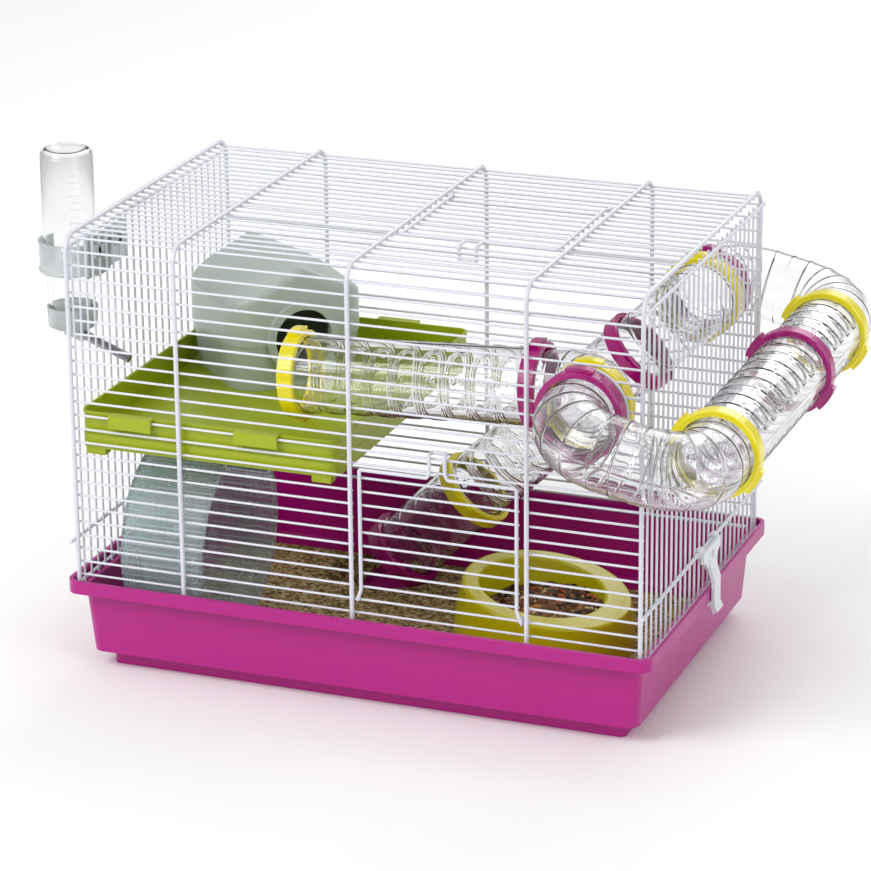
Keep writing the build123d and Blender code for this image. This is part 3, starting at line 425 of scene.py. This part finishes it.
def addTreads(material):
    # the lines lift the surface a little and make it paler
    tree = material.node_tree
    shader = tree.nodes["Principled BSDF"]
    treads = addNode(tree, "ShaderNodeGroup", {"node_tree": makeTreadGroup()})
    treads.inputs["Count"].default_value = treadSizes["count"]
    treads.inputs["Narrow"].default_value = treadSizes["narrow"]
    clearness = addMath(tree, "MULTIPLY_ADD", treads.outputs["Mask"], -0.35)
    clearness.node.inputs[2].default_value = shader.inputs["Transmission Weight"].default_value
    tree.links.new(clearness, shader.inputs["Transmission Weight"])
    bump = addNode(tree, "ShaderNodeBump", values={"Strength": 0.6, "Distance": 0.0006})
    tree.links.new(treads.outputs["Mask"], bump.inputs["Height"])
    tree.links.new(shader.inputs["Normal"].links[0].from_socket, bump.inputs["Normal"])
    tree.links.new(bump.outputs["Normal"], shader.inputs["Normal"])


addTreads(materials["wheelPlastic"])

slotMaterials = {
    "tray": "trayPlastic", "bedding": "beddingWood", "wire": "wireEnamel", "lime": "limePlastic",
    "house": "housePlastic", "wheel": "wheelPlastic", "grey": "greyPlastic", "clear": "clearPlastic",
    "yellow": "yellowPlastic", "magenta": "magentaPlastic", "steel": "spoutSteel",
    "bowl": "bowlPlastic", "food": "beddingWood", "rubber": "sealRubber",
}
slotOf = {part["node"]: part["material_slot"] for part in frame["record"]["subparts"]}
for name, obj in nodes.items():
    for materialSlot in obj.material_slots:
        materialSlot.material = materials[slotMaterials[slotOf[name]]]
for name in ("bottle_cap", "bottle_holder"):
    for materialSlot in nodes[name].material_slots:
        materialSlot.material = materials["capPlastic"]
print("materials are on the frame's nodes")


# Straight tubes with moulded scales and ring-shaped dimples

tubeSizes = {
    "radius": 27.75 * mm, "wall": 1.6 * mm, "bead": 29.3 * mm, "beadWidth": 2.0 * mm, "gap": 0.2 * mm,
    "ridge": 0.62 * mm, "ridgeWidth": 0.6 * mm, "ridgeSpacing": 2.6 * mm,
    "cell": 19.0 * mm, "cellHeight": 33.0 * mm, "cellMargin": 4.0 * mm, "cellGap": 0.7 * mm,
    "innerDrop": 1.6 * mm, "step": 0.62 * mm, "around": 260,
    "dimple": 1.5 * mm, "dimpleHeight": 0.56 * mm, "dimpleEdge": 0.55 * mm,
    "dimpleShift": 2.6 * mm, "dimpleRow": 9.5 * mm, "seam": 0.4 * mm, "seamWidth": 0.6 * mm,
    "portX": 177.5 * mm, "portZ": 253.0 * mm, "portY": 152.5 * mm,
    "long": 186.0 * mm, "short": 96.0 * mm, "dropShort": 85.0 * mm, "reach": 49.0 * mm,
    "frontY": -97.0 * mm, "backY": 90.0 * mm, "feedSlope": 3.5, "dropSlope": 44.0,
    "loopSpacing": 98.0 * mm, "loopDroop": 12.0, "loopBend": 38.0 * mm, "elbowBend": 30.0 * mm,
}


def superDistance(du, dv, halfWide, halfTall):
    # how far a point is from a rounded stadium outline, less than 0 inside
    wide, tall = abs(du) / halfWide, abs(dv) / halfTall
    value = (wide ** 3 + tall ** 3) ** (1 / 3)
    if value < 1e-6:
        return -halfWide
    slope = math.hypot(wide ** 2 / halfWide, tall ** 2 / halfTall) / value ** 2
    return (value - 1) / slope


def tubeRelief(along, angle, length):
    sizes = tubeSizes
    margin = sizes["cellMargin"]
    count = max(1, round((length - 2 * margin) / sizes["cell"]))
    pitch = (length - 2 * margin) / count
    index = min(count - 1, max(0, int((along - margin) / pitch)))
    du = along - margin - (index + 0.5) * pitch
    half = math.remainder(angle, math.pi)
    dv = half * sizes["radius"]
    outer = superDistance(du, dv, pitch / 2 - sizes["cellGap"], sizes["cellHeight"])
    inner = superDistance(du, dv, pitch / 2 - sizes["ridgeSpacing"],
                          sizes["cellHeight"] - sizes["innerDrop"])
    lift = 0.0
    for distance in (outer, inner):
        lift = max(lift, math.exp(-(distance / sizes["ridgeWidth"]) ** 2))
    height = sizes["ridge"] * lift
    # two staggered rows of dimples in each cell
    stagger = sizes["dimpleShift"] if index % 2 else -sizes["dimpleShift"]
    for place in ((stagger, -sizes["dimpleRow"]), (-stagger, sizes["dimpleRow"])):
        away = math.hypot(du - place[0], dv - place[1]) - sizes["dimple"]
        height += sizes["dimpleHeight"] * math.exp(-(away / sizes["dimpleEdge"]) ** 2)
    # the parting line of the two shells
    seam = (math.pi / 2 - abs(half)) * sizes["radius"]
    height += sizes["seam"] * math.exp(-(seam / sizes["seamWidth"]) ** 2)
    return height


def makeStraightTube(name, start, end, sideways):
    sizes = tubeSizes
    start, end = Vector(start), Vector(end)
    axis = (end - start).normalized()
    start = start + axis * sizes["gap"]
    end = end - axis * sizes["gap"]
    length = (end - start).length
    radius, wall, bead, beadWidth = (sizes[k] for k in ("radius", "wall", "bead", "beadWidth"))
    inside = radius - wall
    outline = [(inside, 0), (bead, 0), (bead, beadWidth)]
    count = int((length - 2 * beadWidth) / sizes["step"])
    for index in range(count + 1):
        outline.append((radius, beadWidth + (length - 2 * beadWidth) * index / count))
    outline += [(bead, length - beadWidth), (bead, length), (inside, length)]
    outline += [(inside, length * part / 8) for part in range(7, 0, -1)]
    bm = spinProfile(outline, sizes["around"])
    for vert in bm.verts:
        across = math.hypot(vert.co.x, vert.co.y)
        if abs(across - radius) < 1e-5 and beadWidth + mm < vert.co.z < length - beadWidth - mm:
            angle = math.atan2(vert.co.y, vert.co.x)
            grow = 1 + tubeRelief(vert.co.z, angle, length) / radius
            vert.co.x *= grow
            vert.co.y *= grow
    bmesh.ops.transform(bm, matrix=placeAlong(start, axis, sideways), verts=bm.verts)
    finishPiece(name + "Clear", bm, materials["clearPlastic"], bodyOf[name], [name], 60)


def slopeDirection(angle):
    return Vector((-math.cos(math.radians(angle)), 0, -math.sin(math.radians(angle))))


def runPoint(runY, slope, distance):
    corner = Vector((tubeSizes["portX"], runY, tubeSizes["portZ"]))
    return corner + slopeDirection(slope) * distance


def loopPoint(y):
    droop = math.radians(tubeSizes["loopDroop"])
    reach = tubeSizes["loopSpacing"]
    return Vector((tubeSizes["portX"] + reach * math.cos(droop), y,
                   tubeSizes["portZ"] - reach * math.sin(droop)))


def makeStraightTubes():
    s = tubeSizes
    front, back = Vector((0, -1, 0)), Vector((0, 0, 1))
    outerEnd = (s["long"] + s["short"]) / 2
    makeStraightTube("feed_tube", runPoint(s["frontY"], s["feedSlope"], s["reach"]),
                     runPoint(s["frontY"], s["feedSlope"], s["reach"] + s["long"]), front)
    makeStraightTube("outer_long_tube", loopPoint(-outerEnd), loopPoint(s["long"] - outerEnd), back)
    makeStraightTube("outer_short_tube", loopPoint(s["long"] - outerEnd), loopPoint(outerEnd), back)
    makeStraightTube("drop_long_tube", runPoint(s["backY"], s["dropSlope"], s["reach"]),
                     runPoint(s["backY"], s["dropSlope"], s["reach"] + s["long"]), front)
    makeStraightTube("drop_short_tube", runPoint(s["backY"], s["dropSlope"], s["reach"] + s["long"]),
                     runPoint(s["backY"], s["dropSlope"], s["reach"] + s["long"] + s["dropShort"]), front)


makeStraightTubes()
print("straight tubes are made")


# Elbows and loops, swept along their bends

bendSizes = {"inset": 0.55 * mm, "around": 160, "step": 0.8 * mm, "rib": 0.5 * mm,
             "ribEvery": 17, "ribWidth": 1.1, "plainEnd": 4, "seam": 0.45 * mm, "seamWidth": 0.8 * mm}


def bendStations(points, bend, step):
    # places and directions along a run of straight legs with round corners
    points = [Vector(p) for p in points]
    stations = []
    cursor = points[0]
    for index in range(1, len(points)):
        leg = (points[index] - points[index - 1]).normalized()
        stop = points[index]
        last = index == len(points) - 1
        if not last:
            after = (points[index + 1] - points[index]).normalized()
            turn = leg.angle(after)
            stop = points[index] - leg * bend * math.tan(turn / 2)
        length = (stop - cursor).length
        pieces = max(1, round(length / step))
        for part in range(pieces if not last else pieces + 1):
            stations.append((cursor.lerp(stop, part / pieces), leg))
        cursor = stop
        if last:
            break
        axis = leg.cross(after).normalized()
        centre = stop + axis.cross(leg) * bend
        pieces = max(2, round(turn * bend / step))
        for part in range(pieces):
            spin = Matrix.Rotation(turn * part / pieces, 3, axis)
            stations.append((centre + spin @ (stop - centre), spin @ leg))
        cursor = centre + Matrix.Rotation(turn, 3, axis) @ (stop - centre)
    return stations


def makeBentTube(name, points, bend):
    # a ring of edges is drawn along the run, then ribs and seams are raised on it
    sizes = bendSizes
    first = (Vector(points[1]) - Vector(points[0])).normalized()
    final = (Vector(points[-1]) - Vector(points[-2])).normalized()
    points = [Vector(p) for p in points]
    points[0] += first * tubeSizes["gap"]
    points[-1] -= final * tubeSizes["gap"]
    stations = bendStations(points, bend, sizes["step"])
    flat = first.cross(final)
    if flat.length < 0.05:
        flat = first.cross((Vector(points[2]) - Vector(points[1])).normalized())
    flat.normalize()
    bm = bmesh.new()
    made = bmesh.ops.create_circle(bm, segments=sizes["around"], radius=tubeSizes["radius"] - sizes["inset"])
    ring = made["verts"]
    previous = Matrix.Identity(4)
    edges = list(bm.edges)
    rings = []
    for index, (place, direction) in enumerate(stations):
        target = placeAlong(place, direction, flat)
        if index:
            made = bmesh.ops.extrude_edge_only(bm, edges=edges)
            ring = [g for g in made["geom"] if isinstance(g, bmesh.types.BMVert)]
            edges = [g for g in made["geom"] if isinstance(g, bmesh.types.BMEdge) and
                     all(v in ring for v in g.verts)]
        bmesh.ops.transform(bm, matrix=target @ previous.inverted(), verts=ring)
        previous = target
        rings.append((ring, target))
    count = len(rings)
    for index, (ring, target) in enumerate(rings):
        away = math.remainder(index, sizes["ribEvery"])
        plain = sizes["ribEvery"] - sizes["plainEnd"]
        inRun = plain < index < count - plain
        rib = sizes["rib"] * math.exp(-(away / sizes["ribWidth"]) ** 2) if inRun else 0.0
        back = target.inverted()
        for vert in ring:
            local = back @ vert.co
            angle = math.atan2(local.y, local.x)
            seam = abs(abs(angle) - math.pi / 2) * tubeSizes["radius"]
            lift = max(rib, sizes["seam"] * math.exp(-(seam / sizes["seamWidth"]) ** 2))
            grow = 1 + lift / tubeSizes["radius"]
            vert.co = target @ Vector((local.x * grow, local.y * grow, local.z))
    bmesh.ops.recalc_face_normals(bm, faces=bm.faces)
    piece = finishPiece(name + "Clear", bm, materials["clearPlastic"], bodyOf[name], [name], 60)
    wall = piece.modifiers.new("wall", "SOLIDIFY")
    wall.thickness = tubeSizes["wall"]
    wall.offset = -1.0


def makeBentTubes():
    s = tubeSizes
    outerEnd = (s["long"] + s["short"]) / 2
    for side, name, runY, slope in ((-1, "front_elbow", s["frontY"], s["feedSlope"]),
                                    (1, "back_elbow", s["backY"], s["dropSlope"])):
        port = Vector((s["portX"], side * s["portY"], s["portZ"]))
        corner = Vector((s["portX"], runY, s["portZ"]))
        makeBentTube(name, [port, corner, corner + slopeDirection(slope) * s["reach"]], s["elbowBend"])
    for side, name in ((-1, "front_loop"), (1, "back_loop")):
        far = side * (s["portY"] + s["reach"])
        port = Vector((s["portX"], side * s["portY"], s["portZ"]))
        corner = Vector((s["portX"], far, s["portZ"]))
        makeBentTube(name, [port, corner, loopPoint(far), loopPoint(side * outerEnd)], s["loopBend"])


makeBentTubes()
print("elbows and loops are made")


# Loose pieces: one shape copied many times

def scatterShapes(makeShape, places):
    # copies the shape by doubling, then moves each copy to its own place
    bm = bmesh.new()
    makeShape(bm)
    size = len(bm.verts)
    total = 1
    while total < len(places):
        more = min(total, len(places) - total)
        bm.verts.ensure_lookup_table()
        wanted = set(bm.verts[: more * size])
        faces = [f for f in bm.faces if all(v in wanted for v in f.verts)]
        edges = [e for e in bm.edges if all(v in wanted for v in e.verts)]
        bmesh.ops.duplicate(bm, geom=list(wanted) + edges + faces)
        bm.verts.index_update()
        total += more
    # each connected lump is one copy
    bm.verts.ensure_lookup_table()
    seen = set()
    lump = 0
    for vert in bm.verts:
        if vert in seen:
            continue
        stack, members = [vert], []
        seen.add(vert)
        while stack:
            here = stack.pop()
            members.append(here)
            for edge in here.link_edges:
                other = edge.other_vert(here)
                if other not in seen:
                    seen.add(other)
                    stack.append(other)
        for member in members:
            member.co = places[lump] @ member.co
        lump += 1
    return bm


beddingSizes = {"count": 16000, "long": 2.5 * mm, "wide": 1.8 * mm, "thick": 1.5 * mm, "seed": 4,
                "edge": 3.0 * mm, "bowlMargin": 4.0 * mm, "tilt": 0.45}
beddingStoppers = ("wheel_stand", "drop_end_ring")


def makeBedding():
    sizes = beddingSizes
    low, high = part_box("bedding")
    rng = random.Random(sizes["seed"])
    stopperBoxes = [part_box(name) for name in beddingStoppers]
    bowlLow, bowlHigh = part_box("bowl")
    bowlCentre = (bowlLow + bowlHigh) / 2
    bowlReach = (bowlHigh.x - bowlLow.x) / 2 - sizes["bowlMargin"]
    places = []
    while len(places) < sizes["count"]:
        x = rng.uniform(low.x + sizes["edge"], high.x - sizes["edge"])
        y = rng.uniform(low.y + sizes["edge"], high.y - sizes["edge"])
        if math.hypot(x - bowlCentre.x, y - bowlCentre.y) < bowlReach:
            continue
        if any(boxLow.x - mm < x < boxHigh.x + mm and boxLow.y - mm < y < boxHigh.y + mm
               for boxLow, boxHigh in stopperBoxes):
            continue
        z = high.z - rng.uniform(0.9, 2.4) * mm
        turn = Matrix.Rotation(rng.uniform(0, math.tau), 4, "Z") @ Matrix.Rotation(
            rng.gauss(0, sizes["tilt"]), 4, "Y") @ Matrix.Rotation(rng.gauss(0, sizes["tilt"]), 4, "X")
        grow = rng.uniform(0.55, 1.15)
        scale = Matrix.Diagonal((grow * sizes["long"], rng.uniform(0.6, 1.1) * sizes["wide"],
                                 rng.uniform(0.6, 1.1) * sizes["thick"], 1))
        places.append(Matrix.Translation((x, y, z)) @ turn @ scale)

    def chip(bm):
        bmesh.ops.create_cube(bm, size=1.0)

    bm = scatterShapes(chip, places)
    finishPiece("beddingChips", bm, materials["beddingWood"], bodyOf["bedding"], (), 20)
    for materialSlot in nodes["bedding"].material_slots:
        materialSlot.material = materials["beddingWood"]


makeBedding()
print("bedding is spread")


# Food in the bowl

foodSizes = {"seed": 9, "spread": 0.97, "sink": 1.6 * mm, "dome": 2.2 * mm, "depth": 2.4, "tilt": 0.4,
             "around": 48}
foodKinds = [
    # name, count, size (long, wide, thick), colours
    ("foodPellets", 90, (10.0, 6.0, 5.4), (tint(48, 28, 18), tint(88, 50, 28), tint(124, 78, 44))),
    ("foodFlakes", 60, (9.5, 7.0, 2.4), (tint(132, 56, 26), tint(170, 86, 38), tint(200, 136, 76))),
    ("foodSeeds", 210, (9.0, 4.2, 2.6), (tint(20, 17, 15), tint(40, 33, 28), tint(140, 130, 114))),
    ("foodGrains", 110, (5.5, 3.2, 2.6), (tint(150, 116, 66), tint(186, 150, 96), tint(214, 190, 140))),
]


def makeFood():
    low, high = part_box("food")
    centre = (low + high) / 2
    radius = (high.x - low.x) / 2
    rng = random.Random(foodSizes["seed"])
    mound = spinProfile([(0.0004, low.z - centre.z), (radius * 0.8, low.z - centre.z),
                         (radius, high.z - centre.z - 6 * mm), (radius * 0.7, high.z - centre.z - 3 * mm),
                         (radius * 0.3, high.z - centre.z - 1.5 * mm), (0.0004, high.z - centre.z - mm)],
                       foodSizes["around"])
    bmesh.ops.transform(mound, matrix=Matrix.Translation(centre), verts=mound.verts)
    base = crumbMaterial("foodDust", {"dark": tint(50, 32, 20), "middle": tint(110, 70, 40),
                                      "pale": tint(160, 120, 76), "patch": 260.0})
    finishPiece("foodMound", mound, base, bodyOf["food"], ["food"], 60)
    for name, count, size, colours in foodKinds:
        material = crumbMaterial(name, {"dark": colours[0], "middle": colours[1], "pale": colours[2],
                                        "patch": 140.0, "fibre": 900.0, "roughness": 0.55})
        places = []
        for index in range(count):
            reach = radius * math.sqrt(rng.random()) * foodSizes["spread"]
            angle = rng.uniform(0, math.tau)
            x, y = reach * math.cos(angle), reach * math.sin(angle)
            top = high.z - foodSizes["sink"] - foodSizes["dome"] * (reach / radius) ** 2
            z = top - rng.uniform(0, foodSizes["depth"]) * mm
            turn = Matrix.Rotation(rng.uniform(0, math.tau), 4, "Z") @ Matrix.Rotation(
                rng.gauss(0, foodSizes["tilt"]), 4, "Y")
            grow = rng.uniform(0.7, 1.1)
            scale = Matrix.Diagonal((size[0] * grow * mm, size[1] * grow * mm, size[2] * grow * mm, 1))
            places.append(Matrix.Translation((centre.x + x, centre.y + y, z)) @ turn @ scale)

        def grainShape(bm):
            bmesh.ops.create_icosphere(bm, subdivisions=2, radius=0.5)

        bm = scatterShapes(grainShape, places)
        finishPiece(name, bm, material, bodyOf["food"], (), 80)


makeFood()
print("food is in the bowl")


# Water bottle with raised measure marks

bottleSizes = {
    "x": -253.5 * mm, "y": -69.0 * mm, "radius": 19.8 * mm, "neck": 15.0 * mm, "wall": 1.2 * mm,
    "seat": 249.0 * mm, "shoulder": 262.0 * mm, "top": 384.0 * mm,
    "marks": 12, "longMark": 8.0 * mm, "shortMark": 5.0 * mm, "firstMark": 48.0 * mm,
    "markPitch": 5.2 * mm, "markDepth": 0.9 * mm, "markHeight": 0.7 * mm, "markTurn": -50,
}


def makeBottle():
    s = bottleSizes
    r, t, top, shoulder, neck, seat = (s[k] for k in ("radius", "wall", "top", "shoulder", "neck", "seat"))
    outer = [(neck, seat), (neck, shoulder - 1.5 * mm), (r - 2.2 * mm, shoulder + 1.2 * mm),
             (r - 1.6 * mm, shoulder + 8 * mm), (r - 0.9 * mm, shoulder + 26 * mm), (r, shoulder + 46 * mm),
             (r, top - 6 * mm), (r - 0.5 * mm, top - 3.2 * mm), (r - 1.8 * mm, top - 1.2 * mm),
             (r - 4.6 * mm, top), (r - 7 * mm, top - 0.8 * mm), (r - 11 * mm, top - 2.6 * mm),
             (4.5 * mm, top - 3.4 * mm), (0.05 * mm, top - 3.4 * mm)]
    inner = [(0.05 * mm, top - 4.8 * mm), (4.5 * mm, top - 4.8 * mm), (r - 11 * mm, top - 4 * mm),
             (r - 7 * mm, top - 2.2 * mm), (r - 4.8 * mm, top - 1.4 * mm), (r - 2.2 * mm - t, top - 2.4 * mm),
             (r - t, top - 6 * mm), (r - t, shoulder + 46 * mm), (r - 0.9 * mm - t, shoulder + 26 * mm),
             (r - 1.6 * mm - t, shoulder + 8 * mm), (r - 2.2 * mm - t, shoulder + 1.8 * mm),
             (neck - t, shoulder - 1 * mm), (neck - t, seat)]
    bm = spinProfile(outer + inner, 96)
    bmesh.ops.transform(bm, matrix=Matrix.Translation((s["x"], s["y"], 0)), verts=bm.verts)
    finishPiece("bottleClear", bm, materials["bottlePlastic"], bodyOf["bottle"], ["bottle"], 50)
    # measure marks: short raised bars up the front of the bottle
    marks = bmesh.new()
    for index in range(s["marks"]):
        wide = s["longMark"] if index % 2 == 0 else s["shortMark"]
        height = shoulder + s["firstMark"] + index * s["markPitch"]
        made = bmesh.ops.create_cube(marks, size=1.0)
        bmesh.ops.scale(marks, vec=(s["markDepth"], wide, s["markHeight"]), verts=made["verts"])
        turn = Matrix.Rotation(math.radians(s["markTurn"]), 4, "Z")
        out = Matrix.Translation((r - 0.3 * s["markDepth"], 0, height))
        bmesh.ops.transform(marks, matrix=Matrix.Translation((s["x"], s["y"], 0)) @ turn @ out,
                            verts=made["verts"])
    finishPiece("bottleMarks", marks, materials["bottlePlastic"], bodyOf["bottle"])


makeBottle()
print("bottle is made")


# Bottle holder: an open sprung band, a back plate and two fingers that hook the side wires

holderSizes = {
    "gap": 1.9 * mm, "wall": 2.2 * mm, "low": 290.0 * mm, "high": 314.0 * mm, "bead": 0.7 * mm,
    "mouth": 62, "mouthTurn": 120, "steps": 84, "round": 0.6 * mm,
    "plateX": -226.0 * mm, "plateY": -65.0 * mm, "plateZ": 308.0 * mm,
    "plate": (2.4 * mm, 64.0 * mm, 30.0 * mm), "bridge": (5.6 * mm, 22.0 * mm, 24.0 * mm),
    "fingers": (-92.0 * mm, -57.5 * mm), "fingerZ": 314.0 * mm,
    "finger": (7.9 * mm, 5.0 * mm, 8.0 * mm), "nail": (2.0 * mm, 14.0 * mm, 8.0 * mm),
    "nailX": -218.3 * mm, "fingerX": -221.25 * mm,
}


def addBlock(bm, centre, size, rounding):
    made = bmesh.ops.create_cube(bm, size=1.0)
    bmesh.ops.transform(bm, verts=made["verts"],
                        matrix=Matrix.Translation(centre) @ Matrix.Diagonal((*size, 1)))
    edges = list({edge for vert in made["verts"] for edge in vert.link_edges})
    bmesh.ops.bevel(bm, geom=edges, offset=rounding, affect="EDGES", segments=2, profile=0.5, material=-1)


def makeHolder():
    s = holderSizes
    inner = bottleSizes["radius"] + s["gap"]
    outer = inner + s["wall"]
    low, high, bead = s["low"], s["high"], s["bead"]
    section = [(inner + bead, low), (outer - bead, low), (outer, low + bead), (outer, low + 3 * bead),
               (outer - bead, low + 4 * bead), (outer - bead, high - 4 * bead), (outer, high - 3 * bead),
               (outer, high - bead), (outer - bead, high), (inner + bead, high), (inner, high - bead),
               (inner, low + bead)]
    bm = bmesh.new()
    first = math.radians(s["mouthTurn"] + s["mouth"] / 2)
    sweep = math.radians(360 - s["mouth"])
    rings = []
    for index in range(s["steps"] + 1):
        angle = first + sweep * index / s["steps"]
        # the band's two tips thin out to a rounded end
        edge = min(index, s["steps"] - index) / 1.5
        shrink = math.sqrt(1 - (1 - min(edge, 1)) ** 2) * 0.75 + 0.25
        middle = (inner + outer) / 2
        ring = []
        for radius, height in section:
            reach = middle + (radius - middle) * shrink
            ring.append(bm.verts.new((bottleSizes["x"] + reach * math.cos(angle),
                                      bottleSizes["y"] + reach * math.sin(angle), height)))
        rings.append(ring)
    count = len(section)
    for ring, after in zip(rings, rings[1:]):
        for k in range(count):
            bm.faces.new((ring[k], ring[(k + 1) % count], after[(k + 1) % count], after[k]))
    bm.faces.new(rings[0])
    bm.faces.new(rings[-1][::-1])
    addBlock(bm, (s["plateX"], s["plateY"], s["plateZ"]), s["plate"], s["round"])
    bridgeX = s["plateX"] - s["bridge"][0] / 2 + 0.4 * mm
    addBlock(bm, (bridgeX, bottleSizes["y"], (low + high) / 2), s["bridge"], s["round"])
    for y in s["fingers"]:
        addBlock(bm, (s["fingerX"], y, s["fingerZ"]), s["finger"], s["round"])
        addBlock(bm, (s["nailX"], y, s["fingerZ"]), s["nail"], s["round"])
    finishPiece("bottleBand", bm, materials["capPlastic"], bodyOf["bottle_holder"],
                ["bottle_holder"], 40, True)


makeHolder()
print("bottle holder is made")


scene.cycles.max_bounces = 32
scene.cycles.transmission_bounces = 28
scene.cycles.transparent_max_bounces = 16
